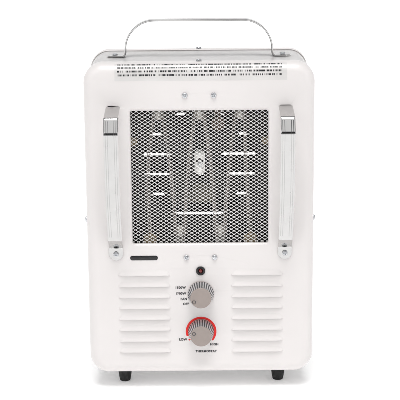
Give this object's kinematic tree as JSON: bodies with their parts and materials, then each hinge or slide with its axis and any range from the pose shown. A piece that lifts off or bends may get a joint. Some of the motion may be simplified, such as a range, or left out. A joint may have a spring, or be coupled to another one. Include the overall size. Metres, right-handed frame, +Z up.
{
  "type": "fan-forced electric space heater",
  "caption": "Upright utility space heater with a steel casing, meshed hot-air outlet, two control knobs, chrome guards and a chrome carry handle.",
  "frame": {"origin": "on the floor under the middle of the bounding box, at the level of the feet's soles", "axes": "+Z up, the front with the grille faces -Y, +X to the right seen from the front"},
  "size_m": [0.2588, 0.1954, 0.416],
  "materials": {
    "white_paint": "warm white satin enamel",
    "grey_paint": "light grey satin enamel",
    "chrome": "polished",
    "zinc_steel": "zinc plated",
    "bright_mesh": "bright expanded metal",
    "rubber": "matt black",
    "knob_plastic": "grey-beige moulding",
    "black_plastic": "black moulding",
    "red_lens": "clear red lens",
    "ceramic": "pale glazed ceramic",
    "resistance_wire": "oxidised heating wire",
    "aluminium": "pressed sheet",
    "core_steel": "laminated steel",
    "winding_tape": "taped winding",
    "phenolic": "brown moulding"
  },
  "bodies": {
    "casing": {"front_panel": "white_paint", "back_panel": "white_paint", "cabinet_wrap": "grey_paint", "grille": "bright_mesh", "carry_handle": "chrome", "guard_left": "chrome", "guard_right": "chrome", "handle_screw_left": "zinc_steel", "handle_screw_right": "zinc_steel", "guard_screw_left": "zinc_steel", "guard_screw_right": "zinc_steel", "panel_screw_top_left": "zinc_steel", "panel_screw_top_right": "zinc_steel", "panel_screw_bottom_left": "zinc_steel", "panel_screw_bottom_right": "zinc_steel", "front_rim_screw_left": "zinc_steel", "front_rim_screw_right": "zinc_steel", "back_rim_screw_left": "zinc_steel", "back_rim_screw_right": "zinc_steel", "front_rim_screw_top": "zinc_steel", "back_rim_screw_top": "zinc_steel", "foot_front_left": "rubber", "foot_front_right": "rubber", "foot_back_left": "rubber", "foot_back_right": "rubber", "selector_nut": "zinc_steel", "selector_body": "phenolic", "thermostat_nut": "zinc_steel", "thermostat_body": "phenolic", "pilot_bezel": "black_plastic", "tilt_switch": "black_plastic", "cord_gland": "black_plastic", "pilot_lens": "red_lens", "element_duct": "zinc_steel", "fan_shroud": "zinc_steel", "motor_bearing_front": "zinc_steel", "motor_bearing_back": "zinc_steel", "motor_mount": "zinc_steel", "heating_coil": "resistance_wire", "insulator_top_left": "ceramic", "insulator_top_middle": "ceramic", "insulator_top_right": "ceramic", "insulator_bottom_left": "ceramic", "insulator_bottom_right": "ceramic", "coil_terminal_left": "ceramic", "coil_terminal_right": "ceramic", "thermal_cutout": "phenolic", "motor_stator": "core_steel", "motor_winding": "winding_tape"},
    "selector_dial": {"selector_knob": "knob_plastic", "selector_shaft": "zinc_steel"},
    "thermostat_dial": {"thermostat_knob": "knob_plastic", "thermostat_shaft": "zinc_steel"},
    "fan_rotor": {"fan": "aluminium", "motor_shaft": "zinc_steel", "motor_rotor": "core_steel"},
    "tilt_pendulum": {"tilt_weight": "zinc_steel"}
  },
  "joints": [
    {"name": "selector_turn", "type": "hinge", "parent": "casing", "child": "selector_dial", "pos_m": [0, -0.05529, 0.1142], "axis": [0, 1, 0], "range_deg": [0, 50]},
    {"name": "thermostat_turn", "type": "hinge", "parent": "casing", "child": "thermostat_dial", "pos_m": [0, -0.05529, 0.0695], "axis": [0, 1, 0], "range_deg": [-42, 197]},
    {"name": "fan_spin", "type": "hinge", "parent": "casing", "child": "fan_rotor", "pos_m": [0, 0.02671, 0.25], "axis": [0, 1, 0], "continuous": true},
    {"name": "tilt_swing", "type": "hinge", "parent": "casing", "child": "tilt_pendulum", "pos_m": [-0.0435, 0.03271, 0.062], "axis": [1, 0, 0], "range_deg": [-20, 20]}
  ]
}
